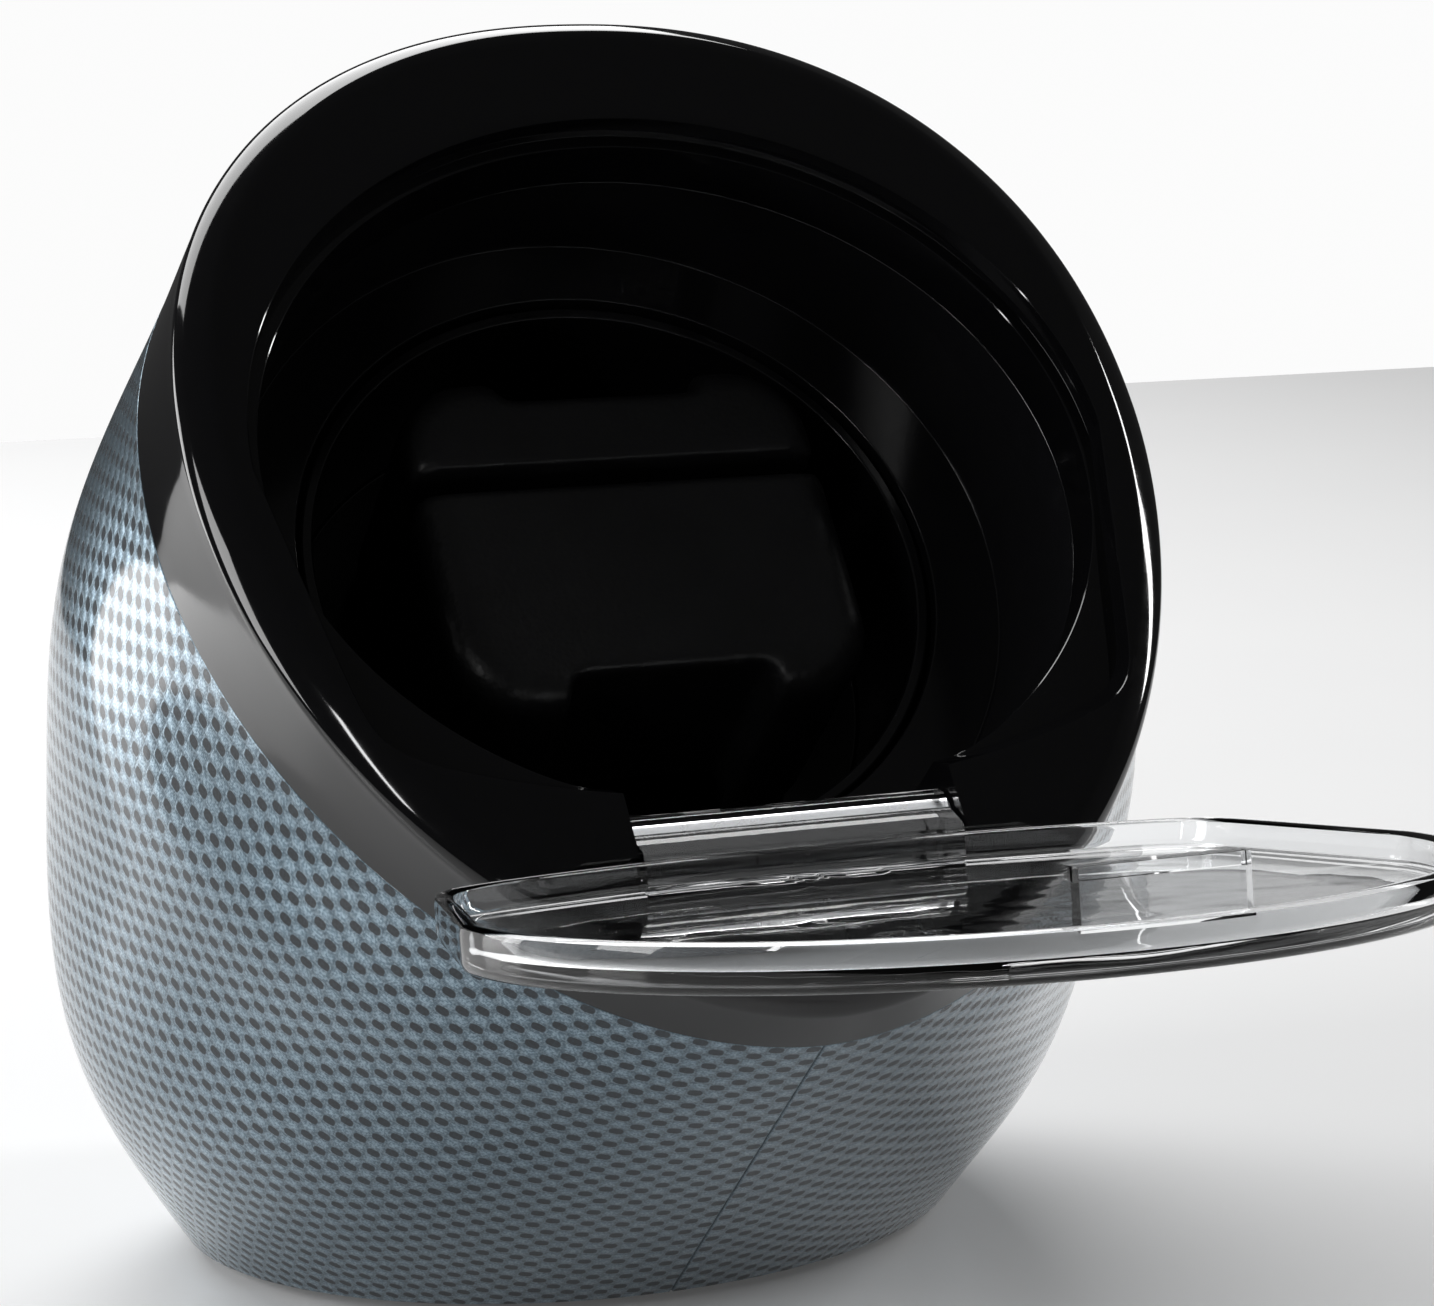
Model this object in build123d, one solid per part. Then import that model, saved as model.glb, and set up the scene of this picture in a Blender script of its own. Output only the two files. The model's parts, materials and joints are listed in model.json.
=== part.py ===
"""Watch winder box: a tilted egg-shaped housing with a rotating cup, a clear hinged lid and a
rear control panel. Millimetres, +Z up, front towards -Y, origin at the middle of the footprint on
the surface that the box stands on."""
from build123d import *
import math
import os

# ---------------------------------------------------------------- driving dimensions
RING_TILT = 43.0          # angle between the horizontal and the axis of the cup
RING_Y = -40.0            # centre of the front opening, measured from the middle of the footprint
RING_Z = 111.0
FOOT_PROUD = 2.0          # thickness of the non-slip pad that the housing stands on
WALL = 2.6                # housing wall

# Housing sections, each on a plane through the same horizontal line in front of the base: share of
# the way from the front opening (0) to the base (1), half-width, how far the back edge lies beyond
# the middle of the front opening as seen from that line, and how far the widest point does.
STATIONS = (
    (0.00, 59.5, 62.0, 0.0),
    (0.14, 61.8, 65.0, 2.0),
    (0.30, 67.5, 64.0, 4.0),
    (0.50, 68.5, 56.0, 5.0),
    (0.66, 68.2, 46.0, 3.0),
    (0.83, 64.0, 37.5, 0.0),
    (1.00, 52.5, 30.0, -5.0),
)
CHIN_DROP = 77.5          # lower edge of the housing below the axis of the cup
TOP_POWER = 2.2           # squareness of the upper half of the front opening
CHIN_POWER = 1.85         # squareness of its lower half
BASE_POWER = 2.0          # squareness of the footprint
COLLAR_FAN = 5.5          # degrees of fan between the opening plane and the end of the collar

FACE_PROUD = 3.5          # front face of the collar above the opening plane
FACE_HALF_WIDTH = 55.3
FACE_TOP = 58.5
FACE_BOTTOM = 75.0
OPENING_HALF_WIDTH = 50.8
OPENING_HALF_HEIGHT = 47.2
OPENING_CENTRE = -4.2     # along the opening plane, upwards
LID_LEDGE = 1.7           # width of the ledge that the lid rests on
COLLAR_DEPTH = 7.0        # back of the collar's inner lip below the opening plane

SILL_DROP = 48.8          # lowest point of the sill below the axis of the cup
SILL_RADIUS = 113.0
SILL_SLOPE = 2.2          # the sill leans outwards by this much up to the face
CORNER_HALF_WIDTH = 46.0  # lower corners of the lid recess
CORNER_DROP = 39.0
CORNER_RADIUS = 7.0

HINGE_DROP = 53.0         # hinge axis below the axis of the cup
HINGE_DEPTH = 1.5         # and behind the opening plane
PIN_RADIUS = 1.5
KNUCKLE_RADIUS = 2.8
TAB_WIDTH = 38.0
LID_THICK = 5.0           # height of the lid's rim
LID_PLATE = 2.0
LID_RIM = 2.2
LID_OPEN = 123.0          # degrees from closed to the rest pose
LID_GAP = 0.5
# Floor of the hinge notch behind the hinge axis: deep enough for the open lid's outer edge.
NOTCH_DEPTH = 0.26 - (LID_THICK + HINGE_DEPTH) * math.cos(math.radians(LID_OPEN))
CATCH_WIDTH = 17.0
CATCH_DEPTH = 5.0

LEDGE_DEPTH = 28.5        # inner ledge behind the opening plane
LEDGE_RADIUS = 49.4
LINER_WALL = 2.0
CUP_RADIUS = 40.2
CUP_WALL = 1.6
CUP_TOP = 29.5
CUP_FLOOR = 56.0
CUP_GAP = 0.6
PLATE_DEPTH = 66.0        # front face of the gear plate behind the opening plane
PLATE_THICK = 3.0

MODULE = 1.0
DRUM_TEETH = 60
PINION_TEETH = 12
GEAR_THICK = 4.0
MOTOR_ANGLE = -65.0       # where the motor sits around the axis of the cup
SHAFT_RADIUS = 3.0
FIT = 0.05                # running fit, radial

HOLDER_WIDTH = 54.0
HOLDER_HEIGHT = 48.0
HOLDER_FRONT = 20.0       # front face of the holder behind the opening plane
HOLDER_CORNER = 10.0
HOLDER_SPLIT = 3.0
HOLDER_LIFT = 3.3         # the holder's back stands this far over the cup's floor
STRAP_WIDTH = 26.0
STRAP_DEPTH = 4.0

PANEL_FACE = 40.5         # outer face of the rear panel's floor, towards the back
PANEL_WIDTH = 48.0
PANEL_LOW = 24.0
PANEL_HIGH = 62.0
PANEL_FLOOR = 2.4
PANEL_RIM = 2.2
BOARD_FACE = 30.0
BOARD_THICK = 1.6
KNOB_RADIUS = 6.5
SWITCH_TRAVEL = 2.2

BASE_THICK = 3.0
PAD_INSET = 4.0           # edge of the pad inside the inner face of the wall
SCREW_RADIUS = 1.4
HEAD_RADIUS = 2.6

BOSS_HEIGHT = 9.0         # pillars for the base screws
PANEL_EAR = 29.0          # panel screws, sideways from the middle
EAR_FACE = 36.0           # face of the posts behind the panel's ears
EAR_THICK = 2.6
POST_RING = 46.6          # posts of the well, around the cup's axis
POST_RADIUS = 3.4
POST_TURNS = (35, 145, 215, 325)# their directions, degrees
BUSH_RADIUS = 5.0
BUSH_FLANGE = 7.0
MOTOR_SHAFT = 1.5
GEARBOX_DEPTH = 10.0
CAN_DEPTH = 20.0
HOLDER_JAW_LOW = 10.0     # lower edge of the holder's sliding half
GUIDE_X = (-19.0, 19.0)
GUIDE_RADIUS = 1.5
GUIDE_HEIGHT = -38.0      # guide pins behind the opening plane
SPRING_COIL = 2.6         # outer radius of the springs
SPRING_WIRE = 0.35
JAW_TRAVEL = 2.4

SEAM_GAP = 0.04           # between the two shell halves
BIG = 800.0

# ---------------------------------------------------------------- frames
FAN_FULL = 90.0 - RING_TILT
PIVOT_REACH = (RING_Z - FOOT_PROUD) / math.cos(math.radians(RING_TILT))
PIVOT_Y = RING_Y - PIVOT_REACH * math.sin(math.radians(RING_TILT))


def fan_plane(share):
    """Plane through the pivot line: share 0 is the front opening, 1 is the base."""
    angle = math.radians(FAN_FULL * (1 - share))
    normal = (0, -math.sin(angle), math.cos(angle))
    return Plane(origin=(0, PIVOT_Y, FOOT_PROUD), x_dir=(1, 0, 0), z_dir=normal)


RING = Plane(origin=(0, RING_Y, RING_Z), x_dir=(1, 0, 0), z_dir=fan_plane(0).z_dir)


def in_ring(shape):
    """Place a shape drawn with x to the right, y up the opening and z out of it."""
    return RING.location * shape


def ring_point(x, y, z):
    return in_ring(Pos(x, y, z)).position


# ---------------------------------------------------------------- outlines
def egg_points(half_width, top, bottom, centre, top_power, low_power, count=24):
    """Closed outline about (0, centre): |x/a|^p + |y/b|^p = 1, with its own b and p above and
    below the centre."""
    points = []
    for step in range(count):
        turn = 2 * math.pi * step / count
        upper = math.cos(turn) >= 0
        power = top_power if upper else low_power
        reach = top if upper else bottom
        across = math.copysign(abs(math.sin(turn)) ** (2 / power), math.sin(turn))
        along = math.copysign(abs(math.cos(turn)) ** (2 / power), math.cos(turn))
        points.append((half_width * across, centre + reach * along))
    return points


def closed_wire(points):
    return Wire([Edge.make_spline([Vector(x, y, 0) for x, y in points], periodic=True)])


def opening_sketch(grow=0.0):
    """The oval mouth of the well."""
    oval = Ellipse(OPENING_HALF_WIDTH + grow, OPENING_HALF_HEIGHT + grow)
    return Pos(0, OPENING_CENTRE) * oval


def strip(low, high, width=200.0):
    return Pos(0, (low + high) / 2) * Rectangle(width, high - low)


def above_sill(drop):
    """Everything above the sill's arc, whose lowest point is this far below the cup's axis."""
    centre = SILL_RADIUS - drop
    below_arc = strip(-drop - 60, centre) - Pos(0, centre) * Circle(SILL_RADIUS)
    return strip(-drop - 50, centre + 60) - below_arc


def lid_sketch(gap):
    """Outline of the lid: the oval widened to the ledge, run down to two rounded corners and
    closed by the sill's arc. A positive gap makes it smaller."""
    side = OPENING_HALF_WIDTH + LID_LEDGE - gap
    lean = (OPENING_HALF_WIDTH + LID_LEDGE - CORNER_HALF_WIDTH) / (OPENING_CENTRE + CORNER_DROP)
    low = -SILL_DROP - CORNER_RADIUS
    foot = side - lean * (OPENING_CENTRE - low)
    skirt = make_face(Polyline((-side, OPENING_CENTRE), (side, OPENING_CENTRE), (foot, low),
                               (-foot, low), close=True))
    shape = (opening_sketch(LID_LEDGE - gap) + skirt) & above_sill(SILL_DROP - gap)
    corners = [v for v in shape.vertices() if v.Y < -CORNER_DROP + CORNER_RADIUS]
    return fillet(corners, CORNER_RADIUS - gap)


def body_section(share, inset):
    """Housing section on its fan plane, inset by the given amount."""
    lower = max(index for index, row in enumerate(STATIONS) if row[0] <= share)
    upper = min(lower + 1, len(STATIONS) - 1)
    span = max(STATIONS[upper][0] - STATIONS[lower][0], 1e-9)
    blend = (share - STATIONS[lower][0]) / span
    half, back, centre = [STATIONS[lower][i] * (1 - blend) + STATIONS[upper][i] * blend
                          for i in (1, 2, 3)]
    back = back + PIVOT_REACH
    centre = centre + PIVOT_REACH
    front = (PIVOT_REACH - CHIN_DROP) / math.cos(math.radians(FAN_FULL * share))
    top_power = TOP_POWER + (BASE_POWER - TOP_POWER) * share
    low_power = CHIN_POWER + (BASE_POWER - CHIN_POWER) * min(1, 1.6 * share)
    points = egg_points(half - inset, back - centre - inset, centre - front - inset, centre,
                        top_power, low_power)
    return fan_plane(share).location * closed_wire(points)


def shoulder_section(blend, height):
    """Collar outline between the front face (blend 0) and the opening plane (blend 1)."""
    _, half, back, _ = STATIONS[0]
    ends = ((FACE_HALF_WIDTH, half), (FACE_TOP, back), (FACE_BOTTOM, CHIN_DROP))
    sizes = [face * (1 - blend) + body * blend for face, body in ends]
    outline = closed_wire(egg_points(*sizes, 0, TOP_POWER, CHIN_POWER))
    return (RING.location * Pos(0, 0, height)) * outline


def body_loft(inset):
    """The egg, from the opening plane to the base."""
    return Solid.make_loft([body_section(share, inset) for share, *_ in STATIONS])


def shoulder_loft():
    """The collar's rounded rim in front of the opening plane."""
    return Solid.make_loft([
        body_section(0, 0),
        shoulder_section(0.72, 0.55 * FACE_PROUD),
        shoulder_section(0.0, FACE_PROUD),
    ])


def half_space(plane):
    """Everything on the side that the plane's normal points to."""
    return plane.location * Box(BIG, BIG, BIG, align=(Align.CENTER, Align.CENTER, Align.MIN))


def rotate_about(shape, axis_point, axis_direction, degrees):
    return shape.rotate(Axis(axis_point, axis_direction), degrees)


def ring_prism(sketch, low, high):
    """Sketch on the opening plane, extruded between two heights along the cup's axis."""
    return in_ring(Pos(0, 0, low) * extrude(sketch, high - low))


def ring_tube(outer, inner, low, high, x=0.0, y=0.0):
    disc = Circle(outer) - Circle(inner) if inner else Circle(outer)
    return ring_prism(Pos(x, y) * disc, low, high)


# ---------------------------------------------------------------- housing
EGG = body_loft(0)
CAVITY = body_loft(WALL)
SPLIT = fan_plane(COLLAR_FAN / FAN_FULL)
BEHIND_SPLIT = half_space(Plane(SPLIT.origin, SPLIT.x_dir, -SPLIT.z_dir))
HINGE_HEIGHT = -HINGE_DEPTH
HINGE_POINT = ring_point(0, -HINGE_DROP, HINGE_HEIGHT)
HINGE_AXIS = (1, 0, 0)
NOTCH_HALF = TAB_WIDTH / 2 + 0.4
PIN_LENGTH = TAB_WIDTH + 14.0


def open_lid(shape):
    """Swing a shape from the closed lid to the open rest pose."""
    return rotate_about(shape, HINGE_POINT, HINGE_AXIS, LID_OPEN)


def lid_recess():
    """Pocket that the closed lid lies in."""
    pocket = ring_prism(lid_sketch(0), 0, FACE_PROUD + 1)
    lean = make_face(Polyline((-SILL_DROP + 4, -0.0), (-SILL_DROP, 0.0),
                              (-SILL_DROP - SILL_SLOPE, FACE_PROUD),
                              (-SILL_DROP - SILL_SLOPE, FACE_PROUD + 1),
                              (-SILL_DROP + 4, FACE_PROUD + 1), close=True))
    profile = Plane(origin=(0, SILL_RADIUS - SILL_DROP, 0), x_dir=(0, 1, 0),
                    z_dir=(1, 0, 0)) * (Pos(-(SILL_RADIUS - SILL_DROP), 0) * lean)
    ring = revolve(profile, Axis((0, SILL_RADIUS - SILL_DROP, 0), (0, 0, 1)), 360)
    reach = Pos(0, -SILL_DROP) * Box(2 * CORNER_HALF_WIDTH, 40, 20)
    return pocket + in_ring(ring & reach)


def collar():
    """Gloss front: rim, flat face, lid recess, sill with the hinge notch, and inner lip."""
    front = EGG - BEHIND_SPLIT + shoulder_loft()
    behind_lip = half_space(Plane(ring_point(0, 0, -COLLAR_DEPTH), z_dir=-RING.z_dir))
    front = front - (CAVITY & behind_lip)
    mouth = opening_sketch() & above_sill(SILL_DROP)
    front = front - ring_prism(mouth, -COLLAR_DEPTH - 1, 1) - lid_recess()
    swept = KNUCKLE_RADIUS + LID_THICK + HINGE_DEPTH
    notch = in_ring(Pos(0, -HINGE_DROP, HINGE_HEIGHT) * Rot(0, 90, 0)
                    * Cylinder(swept, 2 * NOTCH_HALF))
    above = in_ring(Pos(0, -HINGE_DROP, HINGE_HEIGHT + 20) * Box(2 * NOTCH_HALF, 2 * swept, 40))
    floor = in_ring(Pos(0, -HINGE_DROP, HINGE_HEIGHT) * Box(
        2 * NOTCH_HALF, 2 * swept, 2 * NOTCH_DEPTH))
    front = front - (notch & (floor + above)) - above
    relief = open_lid(ring_prism(lid_sketch(-LID_GAP), -0.4, LID_THICK + 0.5))
    bore = in_ring(Pos(0, -HINGE_DROP, HINGE_HEIGHT) * Rot(0, 90, 0)
                   * Cylinder(PIN_RADIUS + 0.02, PIN_LENGTH + 0.4))
    return front - relief - bore


def along_y(x, z, start, end, radius):
    return Pos(x, (start + end) / 2, z) * Rot(90, 0, 0) * Cylinder(radius, end - start)


def block_y(x, z, start, end, width, height):
    return Pos(x, (start + end) / 2, z) * Box(width, end - start, height)


def boss(x, y, low, high, radius=4.0):
    return Pos(x, y, (low + high) / 2) * Cylinder(radius, high - low)


BASE_TOP = FOOT_PROUD + BASE_THICK
BASE_SCREWS = [(sx * 35.0, sy * 14.0 + 2.0) for sx in (-1, 1) for sy in (-1, 1)]
PANEL_MID = (PANEL_LOW + PANEL_HIGH) / 2
def panel_block(gap):
    """Block that fills the window in the back of the housing."""
    width = PANEL_WIDTH - 2 * gap
    height = PANEL_HIGH - PANEL_LOW - 2 * gap
    return Pos(0, PANEL_FACE + 8, PANEL_MID) * Box(width, 16 + 2 * PANEL_FLOOR, height)


def shell_bosses():
    """Pillars for the base screws and posts for the rear panel, each with its pilot hole."""
    pairs = []
    height = BOSS_HEIGHT
    for x, y in BASE_SCREWS:
        end = math.copysign(BIG / 4, x)
        rib = Pos((x + end) / 2, y, BASE_TOP + height / 2) * Box(abs(end - x), 2.4, height)
        pillar = boss(x, y, BASE_TOP, BASE_TOP + height) + rib
        pairs.append((pillar, boss(x, y, 0, BASE_TOP + height - 0.5, SCREW_RADIUS)))
    for side in (-1, 1):
        post = along_y(side * PANEL_EAR, PANEL_MID, EAR_FACE, EAR_FACE + 20, 3.2)
        pairs.append((post, along_y(side * PANEL_EAR, PANEL_MID, 0, EAR_FACE + 3.0, SCREW_RADIUS)))
    return pairs


def carbon_shells():
    """Left and right halves of the housing, with bosses for the base and the rear panel."""
    wall = ((EGG - CAVITY) & BEHIND_SPLIT) - panel_block(0)
    inner = body_loft(WALL / 2)
    for piece, hole in shell_bosses():
        wall = wall + (piece & inner) - hole
    halves = {}
    for name, side in (("carbon_shell_left", -1), ("carbon_shell_right", 1)):
        keep = Pos(side * (BIG / 4 + SEAM_GAP / 2), 0, 0) * Box(BIG / 2, BIG, BIG)
        halves[name] = wall & keep
    return halves


def base_plate():
    """Bottom cover inside the lower edge of the shell, with counterbored screw holes."""
    outline = body_section(1.0, WALL + 0.3)
    plate = extrude(Face(outline), BASE_THICK, dir=(0, 0, 1))
    for x, y in BASE_SCREWS:
        plate = plate - boss(x, y, 0, 10, SCREW_RADIUS + 0.2)
        plate = plate - boss(x, y, 0, FOOT_PROUD + 1.6, HEAD_RADIUS + 0.2)
    return plate


def base_pad():
    """Non-slip pad glued under the base plate, over the screws; the box stands on it."""
    return extrude(Face(body_section(1.0, WALL + PAD_INSET)), -FOOT_PROUD, dir=(0, 0, 1))


def screw(length, radius=SCREW_RADIUS, head=HEAD_RADIUS, head_height=1.5):
    """Pan-head screw with a cross slot, pointing up, its head's underside at zero."""
    shank = Cylinder(radius, length, align=(Align.CENTER, Align.CENTER, Align.MIN))
    cap = Cylinder(head, head_height, align=(Align.CENTER, Align.CENTER, Align.MAX))
    cap = fillet(cap.faces().sort_by(Axis.Z)[0].edges(), 0.5)
    for turn in (0, 90):
        cap = cap - Pos(0, 0, -head_height) * Rot(0, 0, turn) * Box(0.6, 2.6, 1.2)
    return shank + cap


def base_screws():
    return [Pos(x, y, FOOT_PROUD + 1.6) * screw(BOSS_HEIGHT - 1.0) for x, y in BASE_SCREWS]


# ---------------------------------------------------------------- lid
def lid():
    """Clear tray: thin plate with a rim, a hinge tab at the sill and a catch at the far end."""
    rim = ring_prism(lid_sketch(LID_GAP), 0.1, LID_THICK)
    rim = rim - ring_prism(lid_sketch(LID_GAP + LID_RIM), -1, LID_THICK - LID_PLATE)
    half = TAB_WIDTH / 2
    knuckle = in_ring(Pos(0, -HINGE_DROP, HINGE_HEIGHT) * Rot(0, 90, 0)
                      * Cylinder(KNUCKLE_RADIUS, TAB_WIDTH))
    arm_top = -SILL_DROP + LID_GAP + LID_RIM
    arm = make_face(Polyline(
        (-HINGE_DROP - KNUCKLE_RADIUS, HINGE_HEIGHT),
        (-HINGE_DROP - KNUCKLE_RADIUS + 0.4, HINGE_HEIGHT + 2.5),
        (-HINGE_DROP - 1.0, HINGE_HEIGHT + 4.8),
        (-HINGE_DROP + 0.2, LID_THICK),
        (arm_top, LID_THICK),
        (arm_top, HINGE_HEIGHT + 0.5),
        (-HINGE_DROP, HINGE_HEIGHT - KNUCKLE_RADIUS), close=True))
    arm = extrude(Plane(origin=(0, 0, 0), x_dir=(0, 1, 0), z_dir=(1, 0, 0)) * arm, half, both=True)
    catch_top = OPENING_CENTRE + OPENING_HALF_HEIGHT
    catch = Pos(0, catch_top - 1.9, 0.5 - CATCH_DEPTH / 2) * Box(CATCH_WIDTH, 1.8, CATCH_DEPTH + 1.0)
    hook = Pos(0, catch_top - 2.9, 0.4 - CATCH_DEPTH + 0.7) * Box(CATCH_WIDTH, 2.4, 1.4)
    closed = rim + knuckle + in_ring(arm) + in_ring(catch) + in_ring(hook)
    bore = in_ring(Pos(0, -HINGE_DROP, HINGE_HEIGHT) * Rot(0, 90, 0)
                   * Cylinder(PIN_RADIUS + FIT, TAB_WIDTH + 2))
    return open_lid(closed - bore)


def hinge_pin():
    return in_ring(Pos(0, -HINGE_DROP, HINGE_HEIGHT) * Rot(0, 90, 0) * Cylinder(PIN_RADIUS, PIN_LENGTH))


# ---------------------------------------------------------------- well and drive
def post_places():
    return [(POST_RING * math.cos(math.radians(turn)), POST_RING * math.sin(math.radians(turn)))
            for turn in POST_TURNS]


def well_liner():
    """Funnel from the collar's lip to the inner ledge, with posts for the gear plate."""
    top = -COLLAR_DEPTH - 0.05
    mouth = Pos(0, OPENING_CENTRE) * Ellipse(OPENING_HALF_WIDTH, OPENING_HALF_HEIGHT)

    def funnel(grow, low, high):
        throat = RING.location * Pos(0, 0, low) * Wire([Edge.make_circle(LEDGE_RADIUS + grow)])
        oval = Edge.make_ellipse(OPENING_HALF_WIDTH + grow, OPENING_HALF_HEIGHT + grow)
        lip = RING.location * Pos(0, OPENING_CENTRE, high) * Wire([oval])
        return Solid.make_loft([throat, lip])

    wall = funnel(LINER_WALL, -LEDGE_DEPTH - LINER_WALL, top) - funnel(0, -LEDGE_DEPTH, top + 0.01)
    ledge_bottom = -LEDGE_DEPTH - LINER_WALL
    wall = wall - ring_tube(CUP_RADIUS + CUP_GAP, 0, ledge_bottom - 1, -LEDGE_DEPTH + 1)
    collar_tube = ring_tube(CUP_RADIUS + CUP_GAP + 1.6, CUP_RADIUS + CUP_GAP,
                            ledge_bottom - 6, ledge_bottom + 0.5)
    liner = wall + collar_tube
    for x, y in post_places():
        post = ring_tube(POST_RADIUS, SCREW_RADIUS, -PLATE_DEPTH, ledge_bottom + 0.5, x, y)
        liner = liner + post
    return liner


def gear_plate():
    """Plate across the posts that carries the bush and the motor."""
    plate = RectangleRounded(2 * (POST_RING + 0.0), 2 * 32.0, 10.0)
    for x, y in post_places():
        plate = plate + Pos(x, y) * Circle(POST_RADIUS + 1.5)
    for x, y in post_places():
        plate = plate - Pos(x, y) * Circle(SCREW_RADIUS + 0.2)
    plate = plate - Circle(BUSH_RADIUS) - Pos(*motor_place()) * Circle(4.0)
    for x, y in motor_screw_places():
        plate = plate - Pos(x, y) * Circle(SCREW_RADIUS + 0.2)
    return ring_prism(plate, -PLATE_DEPTH - PLATE_THICK, -PLATE_DEPTH)


def bearing_bush():
    low = -PLATE_DEPTH - PLATE_THICK - 4.0
    tube = ring_tube(BUSH_RADIUS, SHAFT_RADIUS + FIT, low, -PLATE_DEPTH)
    flange = ring_tube(BUSH_FLANGE, SHAFT_RADIUS + FIT, -PLATE_DEPTH, -PLATE_DEPTH + 1.0)
    return tube + flange


def plate_screws():
    turned = [Pos(x, y, -PLATE_DEPTH - PLATE_THICK) * screw(8.0) for x, y in post_places()]
    return [in_ring(piece) for piece in turned]


def motor_place():
    reach = MODULE * (DRUM_TEETH + PINION_TEETH) / 2 + 0.1
    turn = math.radians(MOTOR_ANGLE)
    return reach * math.cos(turn), reach * math.sin(turn)


def motor_screw_places():
    x, y = motor_place()
    return [(x + s * 8.5, y) for s in (-1, 1)]


def gear_sketch(teeth, phase):
    """Involute spur gear with one tooth centred on the phase angle."""
    pitch = MODULE * teeth / 2
    base = pitch * math.cos(math.radians(20))
    root = pitch - 1.25 * MODULE
    tip = pitch + 0.95 * MODULE
    roll = math.tan(math.radians(20)) - math.radians(20)
    backlash = 0.10
    points = []
    for tooth in range(teeth):
        centre = math.radians(phase) + 2 * math.pi * tooth / teeth
        flank = []
        for step in range(5):
            radius = root + (tip - root) * step / 4
            tilt = math.acos(min(1.0, base / max(radius, base)))
            half = math.pi / (2 * teeth) - backlash / pitch + roll - (math.tan(tilt) - tilt)
            flank.append((radius, half))
        for radius, half in flank:
            points.append((radius * math.cos(centre - half), radius * math.sin(centre - half)))
        for radius, half in reversed(flank):
            points.append((radius * math.cos(centre + half), radius * math.sin(centre + half)))
    return make_face(Polyline(*points, close=True))


GEAR_TOP = -(CUP_FLOOR + 3.5)


def drum_gear():
    teeth = gear_sketch(DRUM_TEETH, MOTOR_ANGLE + 180.0 / DRUM_TEETH)
    web = ring_prism(teeth - Circle(SHAFT_RADIUS), GEAR_TOP - GEAR_THICK, GEAR_TOP)
    for turn in range(0, 360, 60):
        hole = Rot(0, 0, turn) * Pos(17, 0) * Circle(6.0)
        web = web - ring_prism(hole, GEAR_TOP - GEAR_THICK - 1, GEAR_TOP + 1)
    return web


def drum_shaft():
    """Steel shaft from the cup's floor through the gear and the bush, with a clip groove."""
    low = -PLATE_DEPTH - PLATE_THICK - 7.0
    shaft = ring_tube(SHAFT_RADIUS, 0, low, -CUP_FLOOR - 0.6)
    groove = ring_tube(SHAFT_RADIUS + 1, SHAFT_RADIUS - 0.5, low + 1.4, low + 2.3)
    return shaft - groove


def retaining_clip():
    low = -PLATE_DEPTH - PLATE_THICK - 7.0 + 1.45
    ring = Circle(SHAFT_RADIUS + 2.2) - Circle(SHAFT_RADIUS - 0.5)
    ring = ring - Pos(4, 0) * Rectangle(8, 3.2)
    return ring_prism(ring, low, low + 0.8)


def thrust_washer():
    low = -PLATE_DEPTH - PLATE_THICK - 4.0
    return ring_tube(SHAFT_RADIUS + 2.6, SHAFT_RADIUS + 0.1, low - 0.55, low - 0.05)


def motor_pinion():
    x, y = motor_place()
    sketch = Pos(x, y) * (gear_sketch(PINION_TEETH, MOTOR_ANGLE + 180) - Circle(MOTOR_SHAFT))
    return ring_prism(sketch, GEAR_TOP - GEAR_THICK - 0.3, GEAR_TOP + 0.3)


def motor_output_shaft():
    x, y = motor_place()
    return ring_tube(MOTOR_SHAFT, 0, -PLATE_DEPTH - PLATE_THICK - 4.0, GEAR_TOP + 0.3, x, y)


def motor_gearbox():
    x, y = motor_place()
    top = -PLATE_DEPTH - PLATE_THICK
    box = Pos(x, y) * Circle(12.0)
    solid = ring_prism(box, top - GEARBOX_DEPTH, top)
    solid = solid - ring_tube(MOTOR_SHAFT + FIT, 0, top - 4.2, top + 1, x, y)
    for sx, sy in motor_screw_places():
        solid = solid - ring_tube(SCREW_RADIUS, 0, top - 4, top + 1, sx, sy)
    return solid


def motor_can():
    x, y = motor_place()
    top = -PLATE_DEPTH - PLATE_THICK - GEARBOX_DEPTH
    can = ring_tube(10.5, 0, top - CAN_DEPTH, top, x, y)
    can = can + ring_tube(4.0, 0, top - CAN_DEPTH - 1.5, top - CAN_DEPTH, x, y)
    return can


def motor_screws():
    turned = [Pos(x, y, -PLATE_DEPTH) * Rot(180, 0, 0) * screw(5.0) for x, y in motor_screw_places()]
    return [in_ring(piece) for piece in turned]


# ---------------------------------------------------------------- cup and watch holder
def cup():
    """Rotating cup with a keyed floor that the holder drops into."""
    bowl = ring_tube(CUP_RADIUS, 0, -CUP_FLOOR - 2.5, -CUP_TOP)
    bowl = bowl - ring_tube(CUP_RADIUS - CUP_WALL, 0, -CUP_FLOOR, -CUP_TOP + 1)
    hub = ring_tube(8.0, 0, -CUP_FLOOR - 3.5, -CUP_FLOOR - 2.5)
    bowl = bowl + hub - ring_tube(SHAFT_RADIUS, 0, -CUP_FLOOR - 4, -CUP_FLOOR - 0.6)
    for side in (-1, 1):
        pocket = RectangleRounded(12, 20, 2.0) - RectangleRounded(9, 17, 1.5)
        wall = Pos(side * (HOLDER_WIDTH / 2 - 8), 0) * pocket
        bowl = bowl + ring_prism(wall, -CUP_FLOOR, -CUP_FLOOR + 3.0)
    return bowl


HOLDER_BACK = CUP_FLOOR - HOLDER_LIFT


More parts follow.
